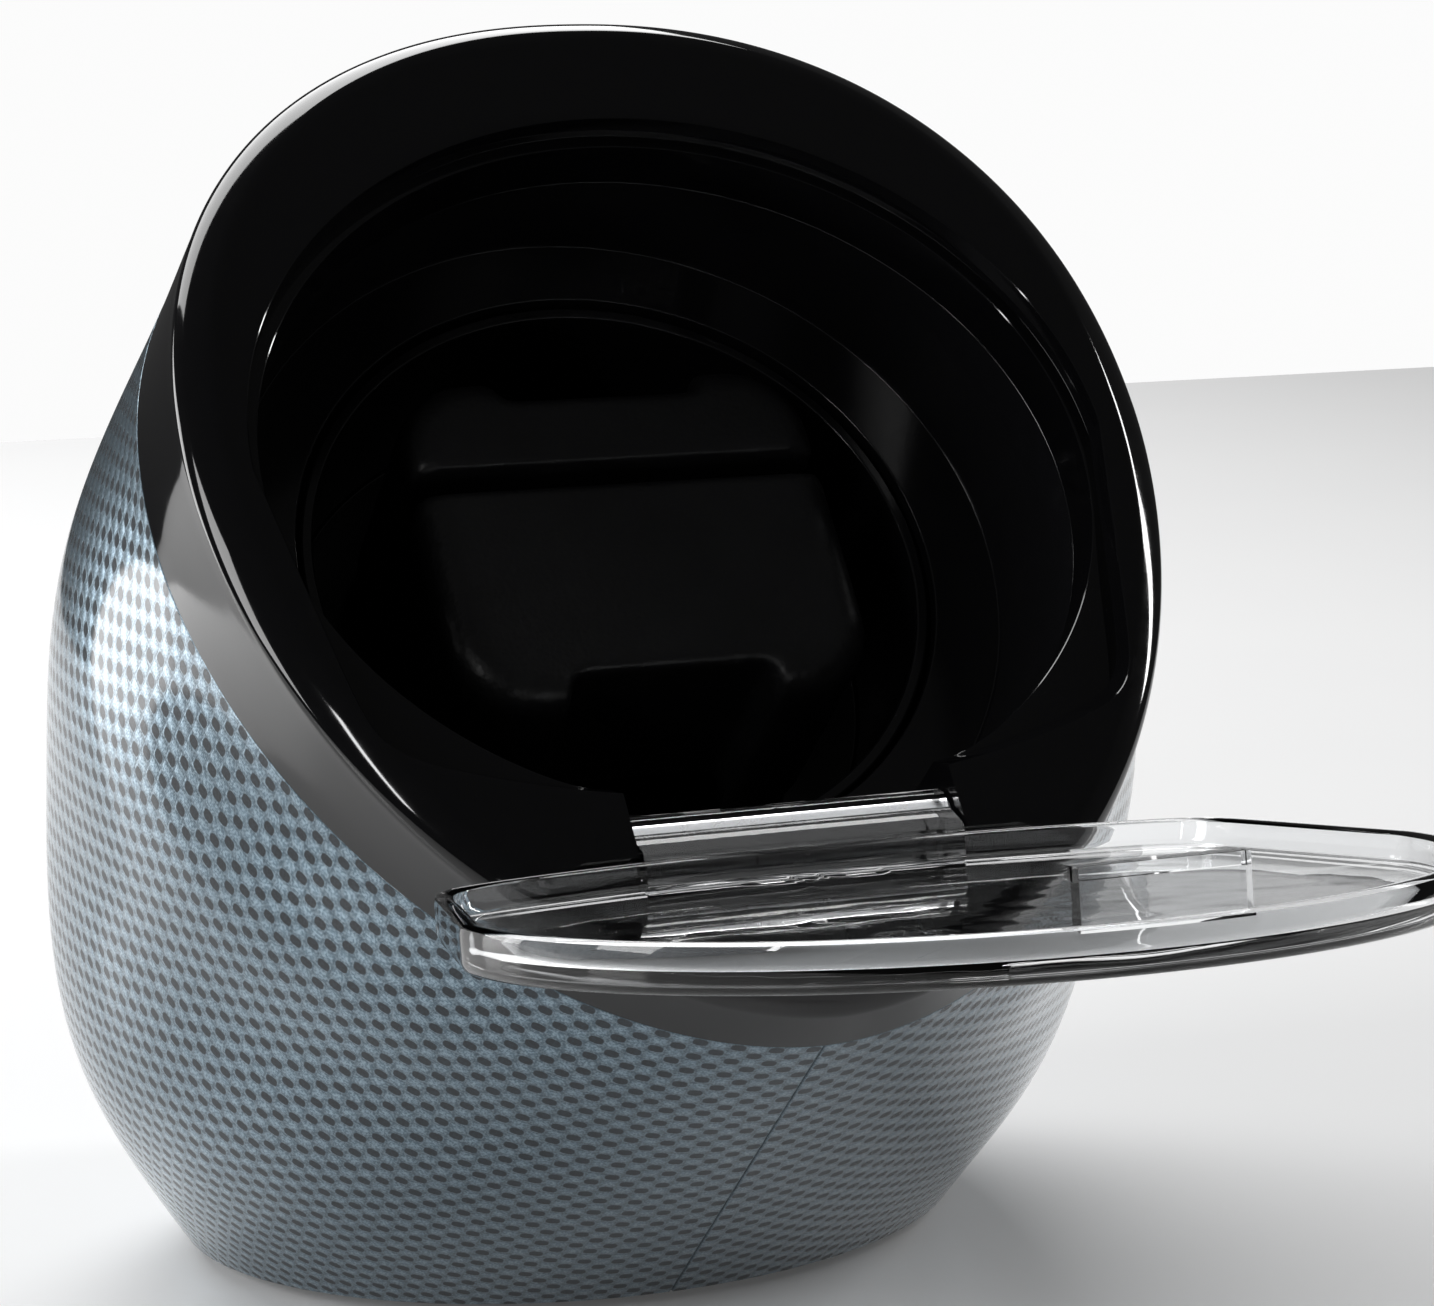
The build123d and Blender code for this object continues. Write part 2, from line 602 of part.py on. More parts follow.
def holder_blank():
    outline = RectangleRounded(HOLDER_WIDTH, HOLDER_HEIGHT, HOLDER_CORNER)
    block = Pos(0, 0, -HOLDER_BACK) * extrude(outline, HOLDER_BACK - HOLDER_FRONT)
    block = fillet(block.faces().sort_by(Axis.Z)[-1].edges(), 4.0)
    strap = Pos(0, 0, -HOLDER_BACK) * Box(STRAP_WIDTH, 80, 2 * STRAP_DEPTH)
    for side in (-1, 1):
        strap = strap + Pos(0, side * HOLDER_HEIGHT / 2, -40) * Box(STRAP_WIDTH, 2 * STRAP_DEPTH, 60)
    return block - strap


def holder_body():
    """Lower part of the holder, with feet for the cup and sockets for the guide pins."""
    keep = Pos(0, -BIG / 2 + HOLDER_JAW_LOW - HOLDER_SPLIT, 0) * Box(BIG, BIG, BIG)
    body = holder_blank() & keep
    for side in (-1, 1):
        foot = Pos(side * (HOLDER_WIDTH / 2 - 8), 0, -CUP_FLOOR + 0.3) * extrude(
            RectangleRounded(8.4, 16.4, 1.4), HOLDER_LIFT)
        body = body + (foot & keep)
    for x in GUIDE_X:
        place = Pos(x, HOLDER_JAW_LOW - HOLDER_SPLIT - 5, GUIDE_HEIGHT)
        body = body - place * Rot(90, 0, 0) * Cylinder(GUIDE_RADIUS, 10.01)
    return in_ring(body)


def holder_jaw():
    """Upper part of the holder, which slides on the guide pins against two springs."""
    keep = Pos(0, BIG / 2 + HOLDER_JAW_LOW, 0) * Box(BIG, BIG, BIG)
    jaw = holder_blank() & keep
    for x in GUIDE_X:
        place = Pos(x, HOLDER_JAW_LOW, GUIDE_HEIGHT)
        jaw = jaw - place * Rot(90, 0, 0) * Cylinder(GUIDE_RADIUS + FIT, 17.0)
        jaw = jaw - place * Rot(90, 0, 0) * Cylinder(SPRING_COIL + SPRING_WIRE + 0.3, 8.0)
    return in_ring(jaw)


def guide_pins():
    low = HOLDER_JAW_LOW - HOLDER_SPLIT - 10.0
    high = HOLDER_JAW_LOW + 8.5 - JAW_TRAVEL - 0.3
    return [in_ring(Pos(x, (low + high) / 2, GUIDE_HEIGHT) * Rot(90, 0, 0)
                    * Cylinder(GUIDE_RADIUS, high - low)) for x in GUIDE_X]


def jaw_springs():
    """Two small coil springs around the guide pins."""
    length = HOLDER_SPLIT + 4.0 - 0.2
    coils = []
    for x in GUIDE_X:
        path = Edge.make_helix(pitch=1.6, height=length - 2 * SPRING_WIRE, radius=SPRING_COIL - 0.3)
        start = path @ 0
        section = Plane(origin=start, z_dir=path % 0) * Circle(SPRING_WIRE)
        coil = sweep(section, path=path)
        place = Pos(x, HOLDER_JAW_LOW - HOLDER_SPLIT + 0.1 + SPRING_WIRE, GUIDE_HEIGHT) * Rot(-90, 0, 0)
        coils.append(in_ring(place * coil))
    return coils


# ---------------------------------------------------------------- rear panel
KNOB_X, KNOB_Z = -11.0, 50.0
SWITCH_X, SWITCH_Z = 11.0, 50.0
JACK_X, JACK_Z = 11.0, 33.0
LED_X, LED_Z = -11.0, 33.0


def control_panel():
    """Recessed panel in the back of the housing that carries the controls."""
    block = panel_block(0.1) & body_loft(0.4)
    pocket = Pos(0, PANEL_FACE + 10, PANEL_MID) * Box(
        PANEL_WIDTH - 2 * PANEL_RIM, 20, PANEL_HIGH - PANEL_LOW - 2 * PANEL_RIM)
    panel = block - pocket
    for side in (-1, 1):
        ear = block_y(side * (PANEL_EAR - 2), PANEL_MID, EAR_FACE - EAR_THICK, EAR_FACE - 0.05, 11, 9)
        web = block_y(side * (PANEL_WIDTH / 2 - 2.1), PANEL_MID, EAR_FACE - EAR_THICK,
                      PANEL_FACE - 1, 4, 9)
        hole = along_y(side * PANEL_EAR, PANEL_MID, 0, EAR_FACE + 1, SCREW_RADIUS + 0.2)
        panel = panel + web + ear - hole
    for x, z in board_posts():
        panel = panel + along_y(x, z, BOARD_FACE, PANEL_FACE - PANEL_FLOOR + 0.5, 2.6)
        panel = panel - along_y(x, z, BOARD_FACE - 1, BOARD_FACE + 6, 1.0)
    panel = panel - along_y(KNOB_X, KNOB_Z, 0, 60, 3.2)
    panel = panel - along_y(JACK_X, JACK_Z, 0, 60, 4.1)
    panel = panel - along_y(LED_X, LED_Z, 0, 60, 1.55)
    return panel - block_y(SWITCH_X, SWITCH_Z, 0, 60, 4.0 + 2 * SWITCH_TRAVEL + 0.6, 4.0)


def board_posts():
    return [(sx * 19.5, PANEL_MID + sz * 13.5) for sx in (-1, 1) for sz in (-1, 1)]


def circuit_board():
    board = block_y(0, PANEL_MID, BOARD_FACE - BOARD_THICK, BOARD_FACE, 45, 33)
    for x, z in board_posts():
        board = board - along_y(x, z, 0, 60, 1.2)
    return board


def board_screws():
    return [Pos(x, BOARD_FACE - BOARD_THICK, z) * Rot(-90, 0, 0) * screw(5.0, 1.0, 2.0, 1.2)
            for x, z in board_posts()]


def panel_screws():
    return [Pos(side * PANEL_EAR, EAR_FACE - EAR_THICK, PANEL_MID) * Rot(-90, 0, 0) * screw(5.0)
            for side in (-1, 1)]


def rotary_switch():
    return block_y(KNOB_X, KNOB_Z, BOARD_FACE, BOARD_FACE + 6, 11, 11) - along_y(
        KNOB_X, KNOB_Z, BOARD_FACE + 1, BOARD_FACE + 7, 2.5 + FIT)


def programme_knob():
    """Fluted knob with a pointer groove, on the rotary switch's spindle."""
    front = PANEL_FACE + 0.4
    knob = along_y(KNOB_X, KNOB_Z, front, front + 5.5, KNOB_RADIUS)
    for turn in range(0, 360, 30):
        place = Pos(KNOB_X, 0, KNOB_Z) * Rot(0, turn, 0) * Pos(KNOB_RADIUS + 0.5, 0, 0)
        knob = knob - place * Pos(0, front + 2.75, 0) * Rot(90, 0, 0) * Cylinder(1.0, 6)
    knob = knob - block_y(KNOB_X, KNOB_Z + 3, front + 4.9, front + 6, 0.9, 4.5)
    return knob + along_y(KNOB_X, KNOB_Z, BOARD_FACE + 1.1, front, 2.5)


def slide_switch_body():
    top = PANEL_FACE - PANEL_FLOOR - 0.3
    case = block_y(SWITCH_X, SWITCH_Z, BOARD_FACE, top, 14, 8)
    return case - block_y(SWITCH_X, SWITCH_Z, top - 3.1, top + 1, 3.4 + 2 * SWITCH_TRAVEL + 0.5, 3.5)


def slide_switch_knob():
    top = PANEL_FACE - PANEL_FLOOR - 0.3
    return block_y(SWITCH_X, SWITCH_Z, top - 3.0, PANEL_FACE + 2.2, 3.4, 3.3)


def power_jack():
    front = PANEL_FACE - 0.4
    jack = block_y(JACK_X, JACK_Z, BOARD_FACE, PANEL_FACE - PANEL_FLOOR - 0.05, 10, 10)
    jack = jack + along_y(JACK_X, JACK_Z, BOARD_FACE + 1, front, 4.0)
    bore = along_y(JACK_X, JACK_Z, BOARD_FACE + 1.5, front + 1, 2.75)
    return jack - bore


def jack_contact():
    return along_y(JACK_X, JACK_Z, BOARD_FACE + 1.5, PANEL_FACE - 2.0, 1.0)


def power_led():
    lens = along_y(LED_X, LED_Z, BOARD_FACE, PANEL_FACE + 0.6, 1.5)
    return lens


# ---------------------------------------------------------------- build
def build_all():
    nodes = dict(carbon_shells())
    nodes["front_collar"] = collar()
    nodes["well_liner"] = well_liner()
    nodes["base_plate"] = base_plate()
    nodes["base_pad"] = base_pad()
    nodes["base_screws"] = base_screws()
    nodes["lid"] = lid()
    nodes["hinge_pin"] = hinge_pin()
    nodes["gear_plate"] = gear_plate()
    nodes["bearing_bush"] = bearing_bush()
    nodes["plate_screws"] = plate_screws()
    nodes["drum_gear"] = drum_gear()
    nodes["drum_shaft"] = drum_shaft()
    nodes["retaining_clip"] = retaining_clip()
    nodes["thrust_washer"] = thrust_washer()
    nodes["motor_pinion"] = motor_pinion()
    nodes["motor_output_shaft"] = motor_output_shaft()
    nodes["motor_gearbox"] = motor_gearbox()
    nodes["motor_can"] = motor_can()
    nodes["motor_screws"] = motor_screws()
    nodes["cup"] = cup()
    nodes["holder_body"] = holder_body()
    nodes["holder_jaw"] = holder_jaw()
    nodes["guide_pins"] = guide_pins()
    nodes["jaw_springs"] = jaw_springs()
    nodes["control_panel"] = control_panel()
    nodes["circuit_board"] = circuit_board()
    nodes["board_screws"] = board_screws()
    nodes["panel_screws"] = panel_screws()
    nodes["rotary_switch"] = rotary_switch()
    nodes["programme_knob"] = programme_knob()
    nodes["slide_switch_body"] = slide_switch_body()
    nodes["slide_switch_knob"] = slide_switch_knob()
    nodes["power_jack"] = power_jack()
    nodes["jack_contact"] = jack_contact()
    nodes["power_led"] = power_led()
    return nodes


os.makedirs("parts", exist_ok=True)
for name, shape in build_all().items():
    pieces = shape if isinstance(shape, list) else [shape]
    solids = [solid for piece in pieces for solid in piece.solids()]
    whole = solids[0] if len(solids) == 1 else Compound(children=solids)
    export_step(whole, "parts/" + name + ".step")
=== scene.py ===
import json
import math
import bmesh
import bpy
import numpy as np
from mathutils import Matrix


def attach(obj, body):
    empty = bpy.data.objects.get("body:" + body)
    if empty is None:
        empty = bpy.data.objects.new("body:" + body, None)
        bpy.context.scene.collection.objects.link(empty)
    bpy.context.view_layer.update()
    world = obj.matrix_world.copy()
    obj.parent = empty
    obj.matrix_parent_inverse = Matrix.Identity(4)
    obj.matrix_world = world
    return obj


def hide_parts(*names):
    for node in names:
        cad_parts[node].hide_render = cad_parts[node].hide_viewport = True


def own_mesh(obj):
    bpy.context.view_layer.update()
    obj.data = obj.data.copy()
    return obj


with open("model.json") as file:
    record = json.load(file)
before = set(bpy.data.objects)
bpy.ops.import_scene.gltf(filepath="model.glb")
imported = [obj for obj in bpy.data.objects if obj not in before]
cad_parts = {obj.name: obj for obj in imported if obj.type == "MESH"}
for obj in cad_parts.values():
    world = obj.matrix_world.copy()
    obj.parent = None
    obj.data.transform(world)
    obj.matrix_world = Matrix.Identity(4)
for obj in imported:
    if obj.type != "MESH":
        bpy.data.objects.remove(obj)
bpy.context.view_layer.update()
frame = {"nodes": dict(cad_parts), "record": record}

# ---------------------------------------------------------------- the viewing place
# The box is looked at from its front left, a little above the mouth, from about arm's length.
camera_data = bpy.data.cameras.new("view")
camera_data.sensor_width = 36.0
camera_data.lens = 95.3
camera_data.clip_start = 0.02
camera = bpy.data.objects.new("view", camera_data)
camera.location = (-0.1495, -0.459, 0.1786)
camera.rotation_euler = (math.radians(78.03), 0.0, math.radians(-20.23))
bpy.context.scene.collection.objects.link(camera)
bpy.context.scene.camera = camera


# ---------------------------------------------------------------- table and lights
# A plain white table, lit by a tall soft panel on the left, a wide one overhead at the back and
# narrow ones that draw the bright lines on the gloss.
class Graph:
    """A material's node tree: node() makes any node, and its outputs come back as Socket."""

    def __init__(self, name):
        self.material = bpy.data.materials.new(name)
        self.material.use_nodes = True
        self.tree = self.material.node_tree
        self.tree.nodes.clear()

    def node(self, kind, settings=None, values=None):
        made = self.tree.nodes.new("ShaderNode" + kind)
        for key, value in (settings or {}).items():
            setattr(made, key, value)
        for key, value in (values or {}).items():
            socket = made.inputs[key]
            if isinstance(value, Socket):
                self.tree.links.new(value.socket, socket)
            else:
                socket.default_value = value
        return made

    def out(self, kind, settings=None, values=None, output=0):
        return Socket(self, self.node(kind, settings, values).outputs[output])

    def surface(self, shader):
        self.node("OutputMaterial", None, {"Surface": Socket(self, shader.outputs[0])})
        return self.material

    def mix(self, factor, low, high):
        return self.out("Mix", {"data_type": "RGBA"}, {0: factor, 6: low, 7: high}, 2)

    def noise(self, coordinate, scale, detail=2.0):
        return self.out("TexNoise", None, {"Vector": coordinate, "Scale": scale,
                                           "Detail": detail})

    def bump(self, height, distance, strength):
        return self.out("Bump", None, {"Height": height, "Distance": distance,
                                       "Strength": strength})


class Socket:
    """A number flowing through the shader; arithmetic on it adds Math nodes."""

    def __init__(self, graph, socket):
        self.graph = graph
        self.socket = socket

    def maths(self, operation, *others):
        values = {0: self}
        values.update({i + 1: other for i, other in enumerate(others)})
        return self.graph.out("Math", {"operation": operation}, values)

    def __add__(self, other):
        return self.maths("ADD", other)

    def __radd__(self, other):
        return self.maths("ADD", other)

    def __sub__(self, other):
        return self.maths("SUBTRACT", other)

    def __rsub__(self, other):
        return (self * -1.0) + other

    def __mul__(self, other):
        return self.maths("MULTIPLY", other)

    def __rmul__(self, other):
        return self.maths("MULTIPLY", other)

    def __truediv__(self, other):
        return self.maths("DIVIDE", other)

    def split(self):
        parts = self.graph.node("SeparateXYZ", None, {0: self})
        return [Socket(self.graph, output) for output in parts.outputs]

    def step(self, low, high):
        """0 below low, 1 above high, smooth between."""
        values = {"Value": self, "From Min": low, "From Max": high}
        return self.graph.out("MapRange", {"interpolation_type": "SMOOTHSTEP"}, values)


def grid_faces(rows, columns, closed):
    """Quads of a grid of points in row-major order; closed joins the last column to the first."""
    last = columns if closed else columns - 1
    row, column = np.meshgrid(np.arange(rows - 1), np.arange(last), indexing="ij")
    right = (column + 1) % columns
    here = row * columns
    return np.stack([here + column, here + right, here + columns + right,
                     here + columns + column], -1).reshape(-1, 4)


def add_mesh(name, points, faces, material, body=None, sharp=None):
    """One object at the origin from an array of points and a list of faces."""
    mesh = bpy.data.meshes.new(name)
    mesh.from_pydata(np.asarray(points, float).reshape(-1, 3).tolist(), [],
                     [list(map(int, face)) for face in faces])
    mesh.materials.append(material)
    mesh.update()
    made = bpy.data.objects.new(name, mesh)
    bpy.context.scene.collection.objects.link(made)
    mesh.shade_smooth()
    if sharp is not None:
        mesh.set_sharp_from_angle(angle=math.radians(sharp))
    if body:
        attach(made, body)
    return made


table = Graph("white_table")
grain = table.noise(table.out("TexCoord", output=3), 18.0, 3.0)
table_white = table.mix(grain, (0.93, 0.93, 0.935, 1), (0.95, 0.95, 0.95, 1))
table_shader = table.node("BsdfPrincipled", None, {
    "Base Color": table_white, "Roughness": 0.18, "Specular IOR Level": 0.35,
    "Emission Color": (1, 1, 1, 1), "Emission Strength": 0.06})
TABLE_HALF = 0.8
TABLE_FRONT = -0.6
TABLE_BACK = 0.7
table_corners = np.array([(-TABLE_HALF, TABLE_FRONT, 0), (TABLE_HALF, TABLE_FRONT, 0),
                          (TABLE_HALF, TABLE_BACK, 0), (-TABLE_HALF, TABLE_BACK, 0)])
floor = add_mesh("table", table_corners, [(0, 1, 2, 3)], table.surface(table_shader))
bpy.context.scene.view_settings.view_transform = "Standard"

# The room is a white cyclorama far behind, kept dim in every ray but the camera's and those
# through the lid, which keeps the box's gloss dark: what is seen directly or through the lid is
# white, and what lights the box is dim.
world = bpy.data.worlds.new("studio")
world.use_nodes = True
room_nodes = world.node_tree.nodes
room_links = world.node_tree.links
direct = room_nodes["Background"]
direct.inputs["Color"].default_value = (0.97, 0.97, 0.97, 1)
dim = room_nodes.new("ShaderNodeBackground")
dim.inputs["Strength"].default_value = 0.06
rays = room_nodes.new("ShaderNodeLightPath")
seen = room_nodes.new("ShaderNodeMath")
seen.operation = "MAXIMUM"
room_links.new(rays.outputs["Is Camera Ray"], seen.inputs[0])
room_links.new(rays.outputs["Is Transmission Ray"], seen.inputs[1])
choose = room_nodes.new("ShaderNodeMixShader")
room_links.new(seen.outputs[0], choose.inputs[0])
room_links.new(dim.outputs[0], choose.inputs[1])
room_links.new(direct.outputs[0], choose.inputs[2])
room_links.new(choose.outputs[0], room_nodes["World Output"].inputs["Surface"])
bpy.context.scene.world = world


def soft_panel(name, place, target, width, height, watts):
    """A rectangular area light at a place, turned to a target."""
    data = bpy.data.lights.new(name, "AREA")
    data.shape = "RECTANGLE"
    data.size = width
    data.size_y = height
    data.energy = watts
    lamp = bpy.data.objects.new(name, data)
    away = np.array(place) - np.array(target)
    flat = math.hypot(away[0], away[1])
    lamp.location = place
    lamp.rotation_euler = (math.atan2(flat, away[2]), 0,
                           math.atan2(away[1], away[0]) + math.pi / 2)
    bpy.context.scene.collection.objects.link(lamp)


soft_panel("left_panel", (-0.66, 0.55, 0.18), (-0.04, 0, 0.08), 0.30, 0.40, 2.2)
soft_panel("left_glow", (-0.95, -0.05, 0.42), (0, 0, 0.07), 0.30, 0.60, 4.0)
soft_panel("left_strip", (-0.62, -0.50, 0.40), (-0.05, -0.03, 0.1), 0.03, 0.30, 0.6)
soft_panel("top_panel", (-0.15, 0.72, 0.85), (-0.08, 0.32, 0.0), 1.3, 0.6, 14.0)
soft_panel("right_strip", (0.72, 0.00, 0.40), (0.02, -0.02, 0.12), 0.05, 0.5, 1.6)

# ---------------------------------------------------------------- carbon-look housing halves
# Two moulded ABS halves, joined on a fine line up the front, wrapped in a film with a plain
# weave under a thick coat of clear lacquer. The weave's colour is painted light and shade: the tows
# one way are painted lit, silvery blue, and the crossing tows are painted in shade as dark cells.
RING_TILT = math.radians(43.0)
RING_CENTRE = np.array([0.0, -0.040, 0.111])
PAD_THICK = 0.002
PIVOT_REACH = (RING_CENTRE[2] - PAD_THICK) / math.cos(RING_TILT)
PIVOT_Y = RING_CENTRE[1] - PIVOT_REACH * math.sin(RING_TILT)
FAN_FULL = math.pi / 2 - RING_TILT
COLLAR_SHARE = math.radians(5.5) / FAN_FULL
CHIN_DROP = 0.0775
# Powers of the outline at the mouth's plane: above and below its centre, and how they change.
TOP_POWER = 2.2
TOP_POWER_LOSS = 0.2
CHIN_POWER = 1.85
CHIN_POWER_GAIN = 0.15
# Rows of share of the fan, half-width, reach to the back and shift of the centre, in mm.
STATIONS = np.array([
    (0.00, 59.5, 62.0, 0.0), (0.14, 61.8, 65.0, 2.0), (0.30, 67.5, 64.0, 4.0),
    (0.50, 68.5, 56.0, 5.0), (0.66, 68.2, 46.0, 3.0), (0.83, 64.0, 37.5, 0.0),
    (1.00, 52.5, 30.0, -5.0)]) * np.array([1.0, 0.001, 0.001, 0.001])


def smooth_through(knots, values, at):
    """Natural cubic spline through the knots, read at the given places."""
    count = len(knots)
    gap = np.diff(knots)
    system = np.eye(count)
    right = np.zeros(count)
    for i in range(1, count - 1):
        system[i, i - 1:i + 2] = gap[i - 1], 2 * (gap[i - 1] + gap[i]), gap[i]
        right[i] = 6 * ((values[i + 1] - values[i]) / gap[i]
                        - (values[i] - values[i - 1]) / gap[i - 1])
    bend = np.linalg.solve(system, right)
    i = np.clip(np.searchsorted(knots, at) - 1, 0, count - 2)
    a, b = knots[i + 1] - at, at - knots[i]
    return ((bend[i] * a ** 3 + bend[i + 1] * b ** 3) / (6 * gap[i])
            + (values[i] / gap[i] - bend[i] * gap[i] / 6) * a
            + (values[i + 1] / gap[i] - bend[i + 1] * gap[i] / 6) * b)


def signed_power(value, power):
    return np.sign(value) * np.abs(value) ** power


def housing_skin(share, turn, inset=0.0):
    """Point of the housing: share 0 is the plane of the mouth, 1 the base. On each plane of the
    fan the outline is |x/a|^p + |y/b|^p = 1 with its own b and p above and below its centre."""
    half, back, centre = [smooth_through(STATIONS[:, 0], STATIONS[:, i], share)
                          for i in (1, 2, 3)]
    front = (PIVOT_REACH - CHIN_DROP) / np.cos(FAN_FULL * share)
    middle = PIVOT_REACH + centre
    upper = np.cos(turn) >= 0
    power = np.where(upper, TOP_POWER - TOP_POWER_LOSS * share,
                     CHIN_POWER + CHIN_POWER_GAIN * np.minimum(1, 1.6 * share))
    reach = np.where(upper, back - centre, middle - front) - inset
    across = (half - inset) * signed_power(np.sin(turn), 2 / power)
    along = middle + reach * signed_power(np.cos(turn), 2 / power)
    angle = FAN_FULL * (1 - share)
    return np.stack([across, PIVOT_Y + along * np.cos(angle),
                     PAD_THICK + along * np.sin(angle)], -1)


WALL = 0.0026
PANEL_HALF = 0.024
PANEL_LOW = 0.024
PANEL_HIGH = 0.062
SEAM_HALF = 0.00004
# How far the grid bends towards the panel's edges: in turn round the body, and in rows.
BEND_END = 1.25
BEND_FADE = 0.6
BEND_ROWS = 14.0
NEWTON_STEP = 1e-4


def half_grid(side):
    """Share and turn of each grid point of one half, from the seam in front round to the seam
    behind. Columns and rows bend so that some lie along the edges of the rear panel's hole."""
    rows, front_columns, hole_columns = 150, 150, 26
    nominal = np.linspace(COLLAR_SHARE, 1.0, rows)
    half = smooth_through(STATIONS[:, 0], STATIONS[:, 1], nominal)
    power = TOP_POWER - TOP_POWER_LOSS * nominal
    back_turn = np.arcsin((PANEL_HALF / half) ** (power / 2))
    ease = np.linspace(0, 1, front_columns + 1)[None, :-1]
    wide = math.pi + (back_turn[:, None] - math.pi) * ease
    narrow = back_turn[:, None] * np.linspace(1, 0, hole_columns)[None, :]
    turn = np.concatenate([wide, narrow], 1)
    share = np.repeat(nominal[:, None], turn.shape[1], 1)
    height = housing_skin(share, turn)[..., 2]
    low_row = int(np.argmin(np.abs(height[:, -1] - PANEL_LOW)))
    high_row = int(np.argmin(np.abs(height[:, -1] - PANEL_HIGH)))
    shift = np.zeros(turn.shape)
    for row, level in ((high_row, PANEL_HIGH), (low_row, PANEL_LOW)):
        local = share[row].copy()
        for _ in range(12):
            now = housing_skin(local, turn[row])[:, 2]
            ahead = housing_skin(local + NEWTON_STEP, turn[row])[:, 2]
            slope = (ahead - now) / NEWTON_STEP
            local = local - (now - level) / slope
        move = (local - share[row]) * np.clip((BEND_END - turn[row]) / BEND_FADE, 0, 1)
        reach = np.abs(np.arange(rows) - row) / BEND_ROWS
        shift += np.clip(1 - reach, 0, 1)[:, None] * move[None, :]
    share = np.clip(share + shift, COLLAR_SHARE, 1.0)
    hole = np.zeros((rows - 1, turn.shape[1] - 1), bool)
    hole[high_row:low_row, front_columns:] = True
    return share, side * turn, hole


def arc_lengths(points, axis):
    """Distance run along one direction of a grid of points."""
    legs = np.linalg.norm(np.diff(points, axis=axis), axis=-1)
    return np.concatenate([np.zeros_like(np.take(legs, [0], axis)), np.cumsum(legs, axis)], axis)


weave = Graph("carbon_weave")
TOW_ACROSS = 0.00215
TOW_ALONG = 0.0016
THREAD = 0.00026
place = weave.out("UVMap", {"uv_map": "film"}).split()
u_cell = place[0] / TOW_ACROSS
v_cell = place[1] / TOW_ALONG
across_wave = (u_cell * math.pi).maths("SINE")
along_wave = (v_cell * math.pi).maths("SINE")
checker = across_wave * along_wave
# The cells of tow painted lit, as catching the sheen; the rest are crossing tow painted in shade.
painted_lit_cell = checker.step(-0.42, -0.16)
# Highest in the middle of each cell: the tow's bulge for the bump, and a painted sheen on its crown
# in the colour.
crown_bulge_and_sheen = across_wave.maths("ABSOLUTE").maths("POWER", 0.5) * along_wave.maths(
    "ABSOLUTE").maths("POWER", 0.6)
threads = (place[1] * (2 * math.pi / THREAD)).maths("SINE") * 0.5 + 0.5
speckle = weave.noise(weave.out("TexCoord", output=3), 3200.0, 2.0).step(0.35, 0.68)
# Painted sheen: the colour of the lit tow, silvery blue, with its fibres and random speckle.
painted_lit_tow = weave.mix(threads * 0.25 + speckle * 0.75, (0.075, 0.125, 0.165, 1),
                      (0.31, 0.41, 0.48, 1))
# Painted shade: the crossing tow, nearly black, with random speckle.
painted_shaded_tow = weave.mix(speckle, (0.003, 0.007, 0.011, 1), (0.010, 0.018, 0.026, 1))
# The film's colour: painted sheen on the lit cells, strongest at each crown, over the painted
# shade.
film_painted_lit_and_shaded = weave.mix(painted_lit_cell * (0.45 + crown_bulge_and_sheen * 0.55), painted_shaded_tow, painted_lit_tow)
film_rough = 0.30 + (1 - painted_lit_cell) * 0.25
film_bump = weave.bump(painted_lit_cell * crown_bulge_and_sheen, 0.0001, 0.55)
weave_material = weave.surface(weave.node("BsdfPrincipled", None, {
    "Base Color": film_painted_lit_and_shaded, "Metallic": painted_lit_cell * 0.9, "Roughness": film_rough,
    "Specular IOR Level": 0.15, "Normal": film_bump, "Coat Weight": 0.8,
    "Coat Roughness": 0.09, "Coat IOR": 1.45}))


def carbon_half(name, node, side):
    """Outer skin, inner skin a wall's thickness inside it, and strips that join their edges."""
    share, turn, hole = half_grid(side)
    outer = housing_skin(share, turn)
    outer[:, :, 0] += side * SEAM_HALF
    inner = housing_skin(share, turn, WALL)
    inner[:, :, 0] += side * SEAM_HALF
    rows, columns = share.shape
    faces = grid_faces(rows, columns, False)
    kept = faces[~hole.reshape(-1)]
    count = rows * columns
    index = np.arange(count).reshape(rows, columns)
    edges = np.concatenate([kept[:, [0, 1]], kept[:, [1, 2]], kept[:, [2, 3]], kept[:, [3, 0]]])
    code = edges[:, 0] * count + edges[:, 1]
    back = edges[:, 1] * count + edges[:, 0]
    rim = edges[~np.isin(code, back)]
    walls = np.stack([rim[:, 1], rim[:, 0], rim[:, 0] + count, rim[:, 1] + count], -1)
    shell = np.concatenate([kept, kept[:, ::-1] + count, walls])
    if side > 0:
        shell = shell[:, ::-1]
    made = add_mesh(name, np.concatenate([outer.reshape(-1, 3), inner.reshape(-1, 3)]), shell,
                    weave_material, "housing", sharp=40)
    run_across = arc_lengths(outer, 1) * side
    run_along = arc_lengths(outer, 0)
    film = np.stack([run_across, run_along], -1).reshape(-1, 2)
    film = np.concatenate([film, film])
    loop_points = np.zeros(len(made.data.loops), np.int32)
    made.data.loops.foreach_get("vertex_index", loop_points)
    layer = made.data.uv_layers.new(name="film")
    layer.data.foreach_set("uv", film[loop_points].astype(np.float32).reshape(-1))
    fold = made.modifiers.new("edges", "BEVEL")
    fold.width = 0.00022
    fold.segments = 2
    fold.limit_method = "ANGLE"
    fold.angle_limit = math.radians(60)
    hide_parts(node)


carbon_half("carbon_half_left", "carbon_shell_left", -1)
carbon_half("carbon_half_right", "carbon_shell_right", 1)


# ---------------------------------------------------------------- gloss front collar
# One injection moulding in high-gloss black ABS: a rounded shoulder, a flat oval face, the shallow
# recess that the lid lies in with its leaning sill, and the smooth lip of the mouth.
GRAIN_SCALE = 400.0
GRAIN_SPREAD = 0.15


